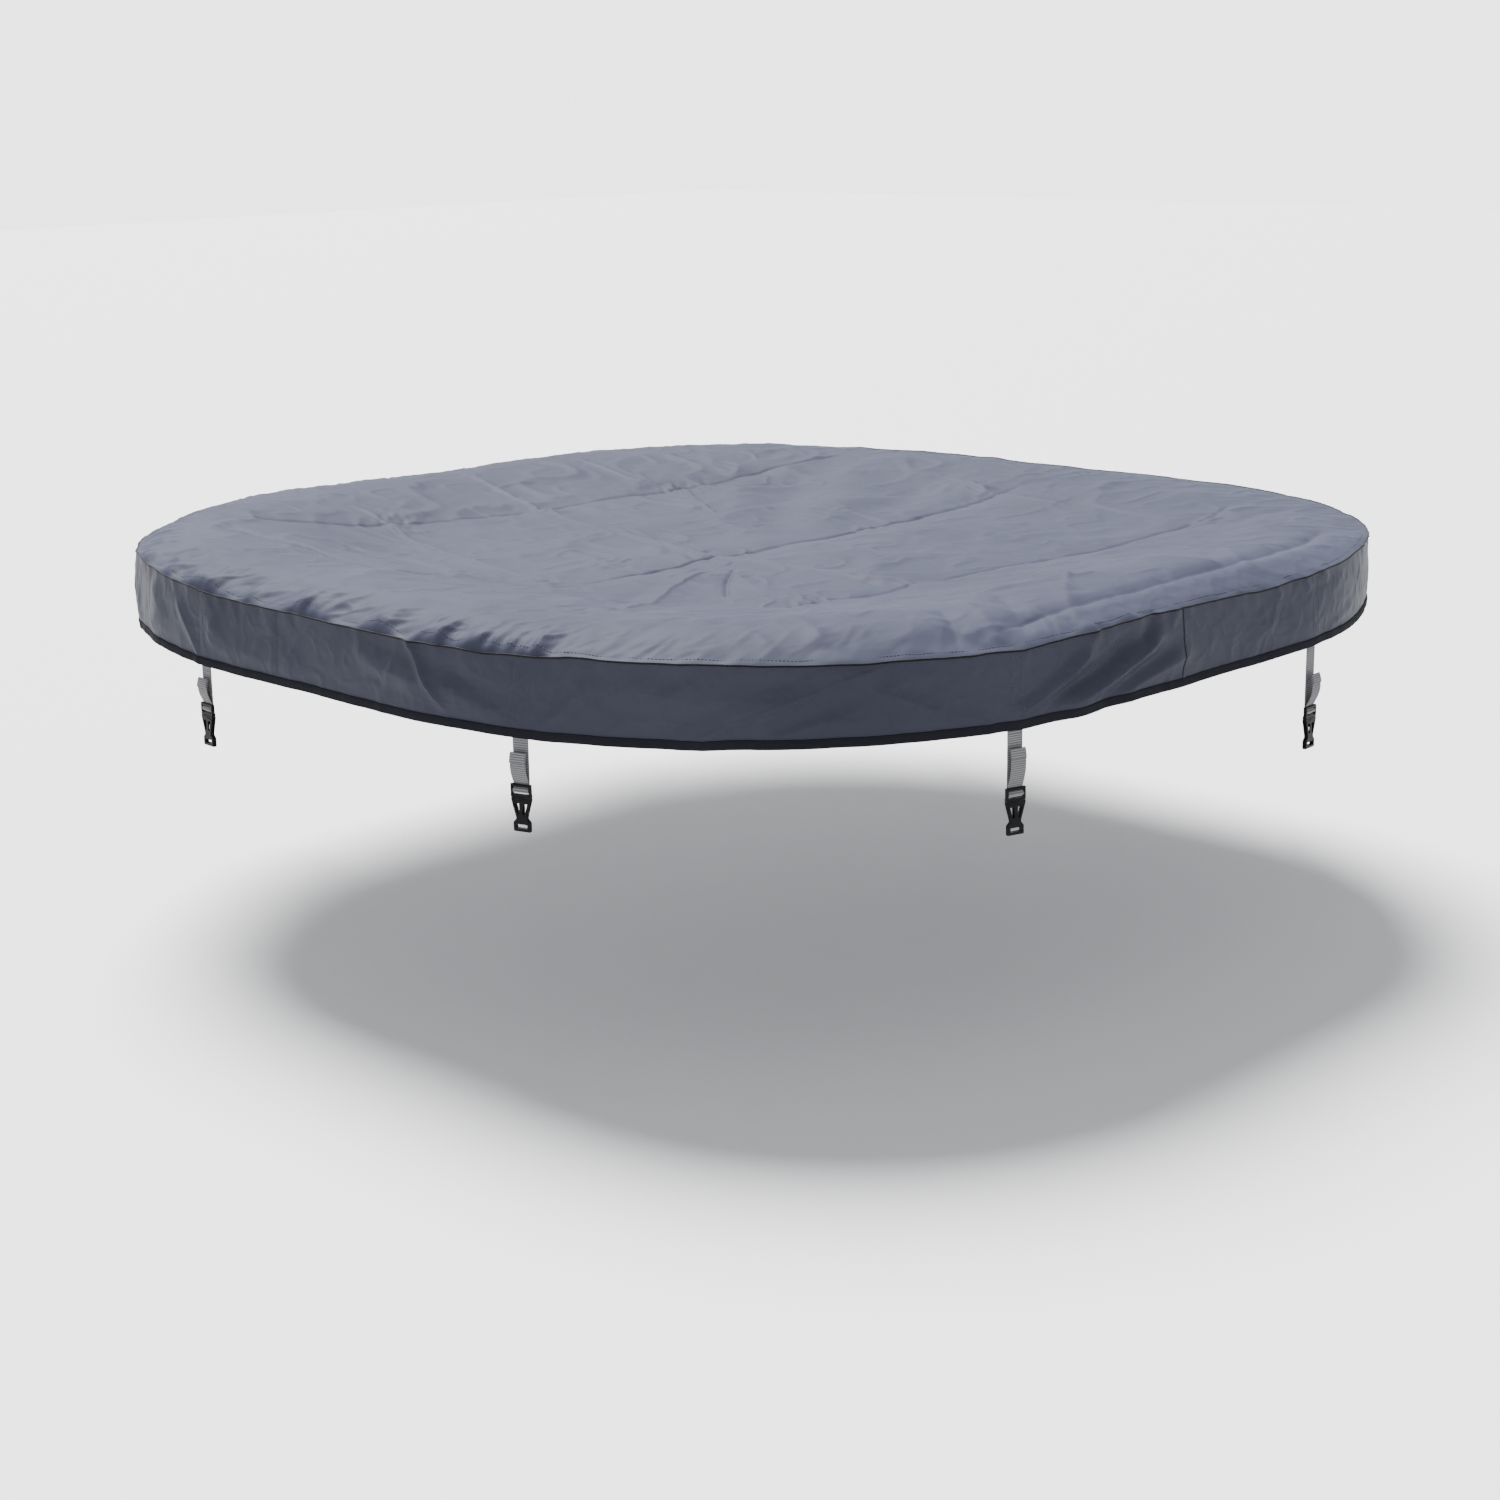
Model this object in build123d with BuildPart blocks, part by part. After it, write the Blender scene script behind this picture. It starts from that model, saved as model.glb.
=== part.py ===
from build123d import *
from math import cos, sin, pi, radians, degrees, hypot, sqrt
import os

os.makedirs("parts", exist_ok=True)

# Soft fitted cover for a square inflatable spa, millimetres, +Z up.
# Origin: centre of the plane in which the cover rests on the crest of the tub's rim.

# cover outline
cover_width = 1860.0
corner_radius = 700.0
fabric = 0.8

# rim profile, measured inwards from the seam, heights from the seat plane
liner_t = 0.6
layer_gap = 0.2
seam_drop = 35.0
crest_outer = 75.0
crest_inner = 155.0
bowl_inset = 400.0
bowl_depth = 38.0
edge_inset = 1.0

# skirt and hem
skirt_height = 113.0
panel_gap = 0.2
panel_shift = 80.0
binding_height = 13.0
binding_t = 0.8
welt_height = 3.6
welt_t = 2.0

# pocket for the inflatable insert
pocket_start = 270.0
pocket_inset = 280.0
pocket_depth = 78.0
insert_inset = 305.0
insert_top = -40.5
insert_bottom = -74.5
insert_skin = 0.4

# webbing strap
web_width = 25.0
web_t = 1.2
web_inset = 2.72
hinge_drop = 6.0
free_lengths = [55, 62, 80, 92, 62, 62, 62, 62]
bar_drop = 9.2
strap_arcs = [-1050.0, -350.0, 350.0, 1050.0, 1878.0, 2705.0, 3533.0, 4360.0]
tail_lengths = [38, 48, 54, 50, 44, 46, 40, 45]
tail_bulges = [8.0, 9.0, 8.0, 11.0, 8.0, 9.0, 8.0, 10.0]

# side-release buckle
bar_y = 2.5
bar_r = 1.5
plug_half = 15.5
rail_inner = 13.2
socket_mid_y = 2.2

# zip of the insert pocket
zip_y = -560.0
zip_length = 860.0
tape_t = 0.6
tape_width = 14.0

# insert valve
valve_x = -200.0
valve_z = -54.0

top_skin = liner_t + layer_gap + fabric
seam_z = top_skin - seam_drop - fabric
hem_z = seam_z - skirt_height
side_half = cover_width / 2 - corner_radius
quarter = 2 * side_half + corner_radius * pi / 2
strap_z = hem_z - binding_t


def save(part, name):
    part.label = name
    export_step(part, "parts/" + name + ".step")


def outline(inset, z):
    width = cover_width - 2 * inset
    with BuildSketch(Plane.XY.offset(z)) as sketch:
        RectangleRounded(width, width, corner_radius - inset)
    return sketch.sketch


def land(profile, floor):
    """Solid under a stepped height profile: outer rise, crest, inner fall."""
    (i0, z0), (i1, z1) = profile[:2]
    with BuildPart() as body:
        add(extrude(outline(i0, floor), z0 - floor))
        add(loft([outline(i0, z0), outline(i1, z1)], ruled=True))
        for (i2, z2), (i3, z3) in zip(profile[2:], profile[3:]):
            add(loft([outline(i2, z2), outline(i3, z3)], ruled=True), mode=Mode.SUBTRACT)
    return body.part


def sheet(profile, thickness, floor, steep=0):
    """Sheet that follows the profile; its last steep points also get their thickness sideways."""
    flat = len(profile) - steep
    under = [(i - (thickness if n >= flat else 0), z - thickness) for n, (i, z) in enumerate(profile)]
    with BuildPart() as body:
        add(land(profile, floor))
        add(land(under, floor - thickness), mode=Mode.SUBTRACT)
    return body.part


def ring(outer_inset, inner_inset, low, high):
    with BuildPart() as body:
        add(extrude(outline(outer_inset, low), high - low))
        add(extrude(outline(inner_inset, low - 1), high - low + 2), mode=Mode.SUBTRACT)
    return body.part


def strap_place(arc, z):
    """Location on the outline; local +Y points out of the cover."""
    index = round(arc / quarter)
    run = arc - index * quarter
    arc_half = corner_radius * pi / 4
    turn = max(-arc_half, min(arc_half, run)) / corner_radius
    angle = radians(-135 + 90 * index) + turn
    centre_angle = radians(-135 + 90 * index)
    centre_r = side_half * sqrt(2)
    along = run - turn * corner_radius
    r = corner_radius - web_inset
    x = centre_r * cos(centre_angle) + r * cos(angle) - along * sin(angle)
    y = centre_r * sin(centre_angle) + r * sin(angle) + along * cos(angle)
    return Location((x, y, z), (0, 0, degrees(angle) - 90))


def ribbon(points, thickness, width):
    """Flat band along a path in the local YZ plane."""
    left = []
    right = []
    for i, (y, z) in enumerate(points):
        y0, z0 = points[max(i - 1, 0)]
        y1, z1 = points[min(i + 1, len(points) - 1)]
        length = hypot(y1 - y0, z1 - z0)
        ny = -(z1 - z0) / length
        nz = (y1 - y0) / length
        left.append((y + ny * thickness / 2, z + nz * thickness / 2))
        right.append((y - ny * thickness / 2, z - nz * thickness / 2))
    with BuildPart() as band:
        with BuildSketch(Plane.YZ):
            with BuildLine():
                Polyline(*(left + right[::-1]), close=True)
            make_face()
        extrude(amount=width / 2, both=True)
    return band.part


def arc_points(cy, cz, radius, start, stop, step):
    count = max(2, int(abs(stop - start) / step))
    points = []
    for i in range(count + 1):
        a = radians(start + (stop - start) * i / count)
        points.append((cy + radius * cos(a), cz + radius * sin(a)))
    return points


def plate(points, low_y, high_y):
    """Plate cut to a profile in the local XZ plane, between two Y faces."""
    with BuildPart() as body:
        with BuildSketch(Plane.XZ.offset(-high_y)):
            with BuildLine():
                Polyline(*points, close=True)
            make_face()
        extrude(amount=high_y - low_y)
    return body.part


def block(x0, x1, y0, y1, z0, z1, mode=Mode.ADD):
    with Locations(((x0 + x1) / 2, (y0 + y1) / 2, (z0 + z1) / 2)):
        Box(x1 - x0, y1 - y0, z1 - z0, mode=mode)


# ---- top panel: one sheet that climbs over the rim's crest and sags inside it ----
top_profile = [
    (edge_inset, seam_z + fabric + layer_gap),
    (crest_outer, top_skin),
    (crest_inner, top_skin),
    (bowl_inset, top_skin - bowl_depth),
]
save(sheet(top_profile, fabric, -300), "top_panel")

# ---- pocket liner: lines the top panel over the rim, then drops away from it as a pocket ----
rise = (top_skin - seam_z - fabric - layer_gap) / (crest_outer - edge_inset)
fall = bowl_depth / (bowl_inset - crest_inner)
liner_profile = [
    (edge_inset + 12, liner_t - rise * (crest_outer - edge_inset - 12)),
    (crest_outer, liner_t),
    (crest_inner, liner_t),
    (pocket_start, liner_t - fall * (pocket_start - crest_inner)),
    (pocket_inset, liner_t - pocket_depth),
]
with BuildPart() as liner:
    add(sheet(liner_profile, liner_t, -300, steep=2))
    block(-zip_length / 2 - 8, zip_length / 2 + 8, zip_y - 3, zip_y + 3, -90, -70, Mode.SUBTRACT)
save(liner.part, "pocket_liner")

# ---- skirt: four panels, each wrapped round a corner and joined just off mid-side ----
skirt_ring = ring(0, fabric, hem_z, seam_z)
panel_x = -panel_shift - panel_gap / 2
panel_y = panel_shift - panel_gap / 2
for number in range(1, 5):
    with BuildPart() as skirt:
        add(skirt_ring)
        with Locations(Location((0, 0, 0), (0, 0, 90 * (number - 1)))):
            with Locations(((panel_x - 1000) / 2, (panel_y - 1000) / 2, 0)):
                Box(panel_x + 1000, panel_y + 1000, 600, mode=Mode.INTERSECT)
    save(skirt.part, "skirt_panel_" + str(number))

# ---- welt in the seam between the top panel and the skirt ----
save(ring(-welt_t - 0.1, -0.1, seam_z - welt_height / 2, seam_z + welt_height / 2), "seam_welt")

# ---- binding folded round the skirt's lower edge ----
with BuildPart() as binding:
    add(ring(-binding_t - 0.1, fabric + 0.1 + binding_t, strap_z, hem_z + binding_height))
    add(ring(-0.1, fabric + 0.1, hem_z - 0.05, hem_z + binding_height + 1), mode=Mode.SUBTRACT)
save(binding.part, "hem_binding")

# ---- inflatable insert: thin welded envelope in the pocket ----
insert_width = cover_width - 2 * insert_inset
insert_corner = corner_radius - insert_inset
with BuildPart() as insert:
    add(extrude(outline(insert_inset, insert_bottom), insert_top - insert_bottom))
    fillet(insert.faces().sort_by(Axis.Z)[-1].edges(), 12)
    fillet(insert.faces().sort_by(Axis.Z)[0].edges(), 12)
    shell = offset(insert.part, -insert_skin, mode=Mode.PRIVATE)
    add(shell, mode=Mode.SUBTRACT)
    with Locations(Location((valve_x, -insert_width / 2, valve_z), (90, 0, 0))):
        Cylinder(6.6, 8, mode=Mode.SUBTRACT)
save(insert.part, "air_insert")

# ---- filling valve on the insert's edge ----
with BuildPart() as valve:
    with Locations(Location((valve_x, -insert_width / 2, valve_z), (90, 0, 0))):
        with Locations((0, 0, 0.8)):
            Cylinder(10.5, 1.2)
        with Locations((0, 0, 2.4)):
            Cylinder(6.2, 8.8)
        Cylinder(4.2, 40, mode=Mode.SUBTRACT)
save(valve.part, "insert_valve")

with BuildPart() as cap:
    with Locations(Location((valve_x, -insert_width / 2, valve_z), (90, 0, 0))):
        with Locations((0, 0, 8.3)):
            Cylinder(7.5, 2.2)
        with Locations((0, 0, 4.0)):
            Cylinder(4.1, 7.0)
save(cap.part, "valve_cap")

# ---- zip of the pocket: two tapes with their rows, slider, pull and two stops ----
tape_z = liner_t - pocket_depth - liner_t - layer_gap
for side, name in [(-1, "zip_tape_front"), (1, "zip_tape_back")]:
    with BuildPart() as tape:
        y_in = zip_y + side * 2.4
        y_out = zip_y + side * (2.4 + tape_width)
        block(-zip_length / 2 - 10, zip_length / 2 + 10, min(y_in, y_out), max(y_in, y_out),
              tape_z - tape_t, tape_z)
        y_a = zip_y + side * 0.8
        y_b = zip_y + side * 2.6
        block(-zip_length / 2, zip_length / 2, min(y_a, y_b), max(y_a, y_b),
              tape_z - tape_t - 0.5, tape_z + 0.7)
    save(tape.part, name)

slider_x = -zip_length / 2 + 8
coil_mid = tape_z - tape_t / 2 + 0.1
with BuildPart() as slider:
    block(slider_x - 6, slider_x + 6, zip_y - 5, zip_y + 5, coil_mid + 1.4, coil_mid + 2.4)
    block(slider_x - 6, slider_x + 6, zip_y - 5, zip_y + 5, coil_mid - 2.4, coil_mid - 1.4)
    block(slider_x - 6, slider_x + 2, zip_y - 0.5, zip_y + 0.5, coil_mid - 1.6, coil_mid + 1.6)
    for y in (zip_y - 3.5, zip_y + 3.5):
        block(slider_x - 1.5, slider_x + 1.5, y - 0.6, y + 0.6, coil_mid - 6.4, coil_mid - 2.2)
    with Locations(Location((slider_x, zip_y, coil_mid - 5.2), (90, 0, 0))):
        Cylinder(0.8, 7.4)
save(slider.part, "zip_slider")

with BuildPart() as pull:
    block(slider_x - 0.7, slider_x + 0.7, zip_y - 2.4, zip_y + 2.4, coil_mid - 32, coil_mid - 6.6)
    with Locations(Location((slider_x, zip_y, coil_mid - 5.2), (90, 0, 0))):
        Cylinder(2.0, 4.8)
        Cylinder(1.1, 12, mode=Mode.SUBTRACT)
save(pull.part, "zip_pull")

for name, x in [("zip_stop_closed", -zip_length / 2 - 4), ("zip_stop_open", zip_length / 2 + 4)]:
    with BuildPart() as stop:
        block(x - 2, x + 2, zip_y - 2.2, zip_y + 2.2, tape_z - tape_t - 0.6, tape_z + 0.6)
    save(stop.part, name)


# ---- webbing sewn up the inside of the skirt above each strap ----
def make_anchor():
    top = seam_z - strap_z - 6
    points = [(0, -hinge_drop + 1), (0, top)]
    return ribbon(points, web_t, web_width)


# ---- hanging webbing: down, round the ladder-lock's bar and up again as a tail ----
def make_web(free, tail, bulge):
    bar_z = -free - bar_drop
    points = [(0, -hinge_drop), (0, -free / 2), (0, bar_z + 1)]
    points += arc_points(bar_y, bar_z, 2.5, 180, 415, 14)
    points += [(2.35, bar_z + 3.9), (1.62, bar_z + 5.2), (1.55, bar_z + 7), (1.55, bar_z + 9.6)]
    start = bar_z + 9.6
    count = 12
    for i in range(1, count + 1):
        t = i / count
        points.append((1.55 + bulge * sin(pi * min(1.0, t * 0.78)), start + t * tail))
    y_top, z_top = points[-1]
    for a in (135, 90, 45, 0):
        points.append((y_top + 0.85 + 0.85 * cos(radians(a)), z_top + 0.3 + 0.85 * sin(radians(a))))
    for i in range(1, 5):
        t = 1 - i * 3.0 / tail
        points.append((3.35 + bulge * sin(pi * min(1.0, t * 0.78)), start + t * tail))
    return ribbon(points, web_t, web_width)


# ---- plug: ladder-lock frame, two arms and a guide, bar centre at local z 0 ----
def socket_half(z):
    return 15.0 - 0.287 * max(0.0, -z - 13.0)


def make_plug():
    with BuildPart() as plug:
        for s in (-1, 1):
            x_a = s * rail_inner
            x_b = s * plug_half
            block(min(x_a, x_b), max(x_a, x_b), 0.2, 5.4, -9.2, 9.2)
        block(-plug_half, plug_half, 2.6, 5.4, 5.4, 9.2)
        block(-plug_half, plug_half, -0.8, 5.2, -9.2, -5.2)
        with Locations(Location((0, bar_y, 0), (0, 90, 0))):
            Cylinder(bar_r, 2 * rail_inner + 1)
        fillet(plug.edges().filter_by(Axis.X).group_by(Axis.Z)[-1], 1.0)
        block(-1.8, 1.8, 1.1, 3.3, -24, -9)
        for s in (-1, 1):
            arm = [
                (s * 13.1, -9.0),
                (s * 13.1, -13.0),
                (s * (socket_half(-32) - 1.9), -32.0),
                (s * (socket_half(-34) - 3.4), -34.0),
                (s * (socket_half(-28) - 4.1), -28.0),
                (s * 10.6, -13.0),
                (s * 10.6, -9.0),
            ]
            add(plate(arm, 1.1, 3.3))
    return plug.part


# ---- socket: tapered hollow body with a neck and a slotted end for the tie-down loop ----
def make_socket():
    outer = [(15.0, -9.8), (15.0, -13.0), (8.0, -37.4), (8.0, -40.0), (12.5, -45.0), (12.5, -58.0)]
    hollow = [(13.5, -9.0), (13.5, -13.0), (socket_half(-35) - 1.5, -35.0)]
    with BuildPart() as socket:
        add(plate(outer + [(-x, z) for x, z in outer[::-1]], -1.3, 5.7))
        add(plate(hollow + [(-x, z) for x, z in hollow[::-1]], 0.7, 3.7), mode=Mode.SUBTRACT)
        for s in (-1, 1):
            window = [(s * 2.4, -18.0), (s * 10.6, -18.0), (s * 6.0, -33.5), (s * 2.4, -33.5)]
            add(plate(window, -3, 8), mode=Mode.SUBTRACT)
        block(-9.5, 9.5, -3, 8, -53.6, -47.4, Mode.SUBTRACT)
        chevron = [(0, -11.2), (12.5, -14.8), (12.5, -16.4), (0, -12.8), (-12.5, -16.4), (-12.5, -14.8)]
        add(plate(chevron, 5.6, 6.3))
        outer_edges = socket.edges().filter_by(Axis.X).group_by(Axis.Z)[0]
        fillet(outer_edges, 1.6)
    return socket.part


plug_part = make_plug()
socket_part = make_socket()
anchor_part = make_anchor()
for number, arc in enumerate(strap_arcs, 1):
    at_hem = strap_place(arc, strap_z)
    free = free_lengths[number - 1]
    at_bar = strap_place(arc, strap_z - free - bar_drop)
    web_part = make_web(free, tail_lengths[number - 1], tail_bulges[number - 1])
    save(anchor_part.moved(at_hem), "strap_anchor_" + str(number))
    save(web_part.moved(at_hem), "strap_web_" + str(number))
    save(plug_part.moved(at_bar), "buckle_plug_" + str(number))
    save(socket_part.moved(at_bar), "buckle_socket_" + str(number))
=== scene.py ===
import bpy
import math
import numpy as np
from mathutils import Matrix, Vector


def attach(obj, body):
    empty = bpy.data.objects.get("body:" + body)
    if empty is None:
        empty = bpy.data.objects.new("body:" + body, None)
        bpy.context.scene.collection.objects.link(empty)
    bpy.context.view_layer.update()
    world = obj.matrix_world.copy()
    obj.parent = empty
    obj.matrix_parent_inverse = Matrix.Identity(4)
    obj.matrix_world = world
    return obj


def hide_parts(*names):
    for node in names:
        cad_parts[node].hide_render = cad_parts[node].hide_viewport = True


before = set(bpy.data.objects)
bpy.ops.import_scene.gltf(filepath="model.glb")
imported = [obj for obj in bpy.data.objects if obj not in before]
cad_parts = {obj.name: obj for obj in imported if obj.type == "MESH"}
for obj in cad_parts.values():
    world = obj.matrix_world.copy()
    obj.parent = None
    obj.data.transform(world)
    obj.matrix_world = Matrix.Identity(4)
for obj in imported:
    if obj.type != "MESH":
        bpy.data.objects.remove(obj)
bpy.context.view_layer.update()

# ---------------------------------------------------------------- sizes
WIDTH = 1.860
CORNER = 0.700
HALF_SIDE = WIDTH / 2 - CORNER
ARC = CORNER * math.pi / 2
QUARTER = 2 * HALF_SIDE + ARC
PERIMETER = 4 * QUARTER
SEAM_Z = -0.0342
HEM_Z = -0.1480
SAG_Z = -0.040
SKIRT_DROP = 0.114
FLOOR_Z = -0.62
FLOOR_REACH = 20
STITCH_PITCH = 0.0052
FAR = 1e9
WEB_WIDTH = 0.025
WEB_THICK = 0.0012
RIB_PITCH = 0.0032
WEB_INSET = 0.00272
FREE_LENGTHS = [0.055, 0.062, 0.080, 0.092, 0.062, 0.062, 0.062, 0.062]
BAR_DROP = 0.0092
STRAP_ARCS = [-1.050, -0.350, 0.350, 1.050, 1.878, 2.705, 3.533, 4.360]
TAIL_LENGTHS = [0.038, 0.043, 0.054, 0.050, 0.044, 0.043, 0.040, 0.045]
TAIL_BULGES = [0.008, 0.008, 0.008, 0.011, 0.008, 0.008, 0.008, 0.010]


# ---------------------------------------------------------------- outline
def outline(s, inset=0.0):
    """Points on the rounded square at arc length s from the near corner's middle, and outward normals."""
    s = np.asarray(s, float)
    index = np.round(s / QUARTER)
    run = s - index * QUARTER
    turn = np.clip(run, -ARC / 2, ARC / 2) / CORNER
    mid = np.radians(-135 + 90 * index)
    angle = mid + turn
    along = run - turn * CORNER
    r = CORNER - inset
    x = HALF_SIDE * math.sqrt(2) * np.cos(mid) + r * np.cos(angle) - along * np.sin(angle)
    y = HALF_SIDE * math.sqrt(2) * np.sin(mid) + r * np.sin(angle) + along * np.cos(angle)
    return x, y, np.cos(angle), np.sin(angle)


def edge_distance(x, y):
    """How far a plan point lies inside the outline."""
    qx = np.abs(x) - HALF_SIDE
    qy = np.abs(y) - HALF_SIDE
    outside = np.hypot(np.maximum(qx, 0), np.maximum(qy, 0))
    inside = np.minimum(np.maximum(qx, qy), 0)
    return CORNER - (outside + inside)


# ---------------------------------------------------------------- noise and folds
def smooth(t):
    t = np.clip(t, 0, 1)
    return t * t * (3 - 2 * t)


def noise(x, y, cell, seed):
    """Smooth seeded noise from -1 to 1 with the given cell size."""
    rng = np.random.default_rng(seed)
    size = 64
    grid = rng.uniform(-1, 1, (size, size))
    u = np.asarray(x, float) / cell + 1000.0
    v = np.asarray(y, float) / cell + 1000.0
    iu = np.floor(u).astype(int)
    iv = np.floor(v).astype(int)
    fu = smooth(u - iu)
    fv = smooth(v - iv)
    a = grid[iu % size, iv % size]
    b = grid[(iu + 1) % size, iv % size]
    c = grid[iu % size, (iv + 1) % size]
    d = grid[(iu + 1) % size, (iv + 1) % size]
    return (a * (1 - fu) + b * fu) * (1 - fv) + (c * (1 - fu) + d * fu) * fv


def ring_noise(s, v, cell, seed):
    """Noise along the outline that closes on itself, by arc length s and a second coordinate v."""
    count = int(round(PERIMETER / cell))
    rng = np.random.default_rng(seed)
    grid = rng.uniform(-1, 1, (count, 64))
    u = np.mod(np.asarray(s, float), PERIMETER) * count / PERIMETER
    w = np.asarray(v, float) / cell + 0.0 * u + 1000.0
    iu = np.floor(u).astype(int)
    iw = np.floor(w).astype(int)
    fu = smooth(u - iu)
    fw = smooth(w - iw)
    a = grid[iu % count, iw % 64]
    b = grid[(iu + 1) % count, iw % 64]
    c = grid[iu % count, (iw + 1) % 64]
    d = grid[(iu + 1) % count, (iw + 1) % 64]
    return (a * (1 - fu) + b * fu) * (1 - fw) + (c * (1 - fu) + d * fu) * fw


def ring_crumple(s, v, cell, seed):
    """Crushed-cloth relief that closes on itself round the outline."""
    warp = 0.35 * cell * ring_noise(s, v, cell * 0.8, seed + 500)
    return np.minimum(1.0, 2.2 * np.abs(ring_noise(s + warp, v - warp, cell, seed)))


def crumple(x, y, cell, seed):
    """Crushed-cloth relief from 0 to 1: flat cells with sharp lines between them."""
    warp = 0.35 * cell * noise(x, y, cell * 0.8, seed + 500)
    return np.minimum(1.0, 2.2 * np.abs(noise(x + warp, y - warp, cell, seed)))


def segment_distance(x, y, a, b):
    """Distance to a segment and the share along it."""
    dx = b[0] - a[0]
    dy = b[1] - a[1]
    length2 = dx * dx + dy * dy
    t = ((x - a[0]) * dx + (y - a[1]) * dy) / length2
    tc = np.clip(t, 0, 1)
    d = np.hypot(x - a[0] - tc * dx, y - a[1] - tc * dy)
    return d, t


def line_distance(x, y, line):
    """Distance to a polyline and the share along it."""
    best = np.full(np.shape(x), FAR)
    share = np.zeros(np.shape(x))
    for k in range(len(line) - 1):
        d, t = segment_distance(x, y, line[k], line[k + 1])
        closer = d < best
        best = np.where(closer, d, best)
        share = np.where(closer, (k + np.clip(t, 0, 1)) / (len(line) - 1), share)
    return best, share


def crease(x, y, line, height, width, sharp, taper=0.12):
    """A raised (or sunk) line: a tent of the given half width with a sharp crest."""
    d, t = line_distance(x, y, line)
    ends = smooth(np.minimum(t, 1 - t) / taper) if taper else 1.0
    tent = np.maximum(0, 1 - d / width) ** 1.4
    line_part = np.exp(-(d / 0.0048) ** 2)
    return ends * (0.95 * height * tent + 3.0 * sharp * line_part)


# Packing creases of the top, in plan metres: line, height, half width, height of the sharp line.
PACKING_CREASES = [
    ([(0.05, 0.90), (0.0, 0.65), (-0.04, 0.475), (-0.087, 0.348), (-0.127, 0.127), (-0.166, -0.03),
      (-0.166, -0.285), (-0.158, -0.475), (-0.06, -0.60), (-0.063, -0.71), (-0.25, -0.85)],
     0.0030, 0.050, 0.0009),
    ([(-0.72, 0.64), (-0.46, 0.562), (-0.317, 0.535), (-0.063, 0.515), (0.158, 0.499), (0.364, 0.483),
      (0.80, 0.459)], -0.0034, 0.050, -0.0008),
    ([(-0.50, -0.079), (-0.19, -0.071), (0.079, -0.087), (0.396, -0.0665), (0.74, -0.032)],
     -0.0040, 0.050, -0.0010),
    ([(-0.66, -0.364), (-0.538, -0.415), (-0.38, -0.459), (-0.158, -0.483), (0.079, -0.515),
      (0.396, -0.530), (0.60, -0.525), (0.74, -0.47)], -0.0030, 0.045, -0.0009),
    ([(-0.34, 0.68), (-0.356, 0.538), (-0.412, 0.396), (-0.443, 0.2375), (-0.475, 0.063), (-0.475, -0.10)],
     0.0028, 0.040, 0.0006),
    ([(0.32, 0.82), (0.277, 0.57), (0.317, 0.49), (0.23, 0.38), (0.12, 0.20)], 0.0026, 0.045, 0.0007),
    ([(0.20, -0.03), (0.17, -0.20), (0.14, -0.40)], 0.0014, 0.040, 0.0003),
    ([(0.68, 0.14), (0.61, -0.016), (0.575, -0.25)], 0.0030, 0.035, 0.0006),
    ([(-0.65, -0.36), (-0.53, -0.30), (-0.40, -0.215), (-0.25, -0.155)], 0.0040, 0.040, 0.0006),
    ([(-0.40, -0.33), (-0.32, -0.25), (-0.23, -0.18)], -0.0022, 0.020, -0.0008),
    ([(-0.66, -0.35), (-0.60, -0.20), (-0.57, -0.05)], 0.0040, 0.050, 0.0),
    ([(-0.69, 0.60), (-0.645, 0.38), (-0.657, 0.253), (-0.69, 0.12)], -0.0045, 0.026, -0.0012),
    ([(-0.62, 0.50), (-0.60, 0.35), (-0.60, 0.20)], 0.0045, 0.040, 0.0),
    ([(-0.55, 0.45), (-0.52, 0.30), (-0.54, 0.16)], -0.0020, 0.030, -0.0004),
    ([(-0.70, -0.04), (-0.71, -0.20), (-0.73, -0.38)], 0.0022, 0.030, 0.0),
    ([(-0.68, 0.13), (-0.60, 0.10), (-0.52, 0.04), (-0.46, -0.05)], -0.0035, 0.030, -0.0008),
]
# Broad soft folds pulled towards the far right edge, and pulls at the near edges.
SOFT_FOLDS = [
    ([(0.06, -0.075), (0.30, 0.08), (0.52, 0.25), (0.76, 0.42)], 0.0060, 0.060, 0.0, 0.20),
    ([(0.06, 0.02), (0.26, 0.18), (0.50, 0.35), (0.76, 0.47)], -0.0050, 0.045, 0.0, 0.20),
    ([(0.10, -0.08), (0.36, 0.02), (0.58, 0.10), (0.80, 0.17)], -0.0040, 0.050, 0.0, 0.20),
    ([(0.30, -0.04), (0.50, 0.02), (0.74, 0.07)], 0.0040, 0.040, 0.0, 0.25),
    ([(0.18, 0.20), (0.32, 0.36), (0.50, 0.47)], 0.0050, 0.040, 0.0, 0.25),
    ([(-0.45, -0.865), (-0.063, -0.858), (0.158, -0.850), (0.396, -0.826), (0.54, -0.775)],
     -0.0055, 0.018, -0.0018, 0.08),
    ([(-0.53, -0.90), (-0.40, -0.74)], -0.0030, 0.016, -0.0008, 0.25),
    ([(-0.46, -0.92), (-0.33, -0.71)], 0.0034, 0.018, 0.0004, 0.25),
    ([(-0.40, -0.90), (-0.25, -0.72)], -0.0026, 0.016, -0.0006, 0.25),
    ([(-0.30, -0.90), (-0.12, -0.74)], 0.0028, 0.016, 0.0004, 0.25),
    ([(-0.66, -0.78), (-0.55, -0.58)], 0.0024, 0.016, 0.0006, 0.25),
    ([(0.16, -0.89), (0.29, -0.74)], 0.0026, 0.012, 0.0006, 0.25),
    ([(0.12, -0.87), (0.24, -0.74)], -0.0020, 0.012, -0.0004, 0.25),
    ([(0.50, -0.56), (0.62, -0.52), (0.76, -0.52)], 0.0026, 0.018, 0.0005, 0.25),
    ([(0.52, -0.60), (0.66, -0.58), (0.76, -0.60)], -0.0022, 0.018, 0.0, 0.25),
]
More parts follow.
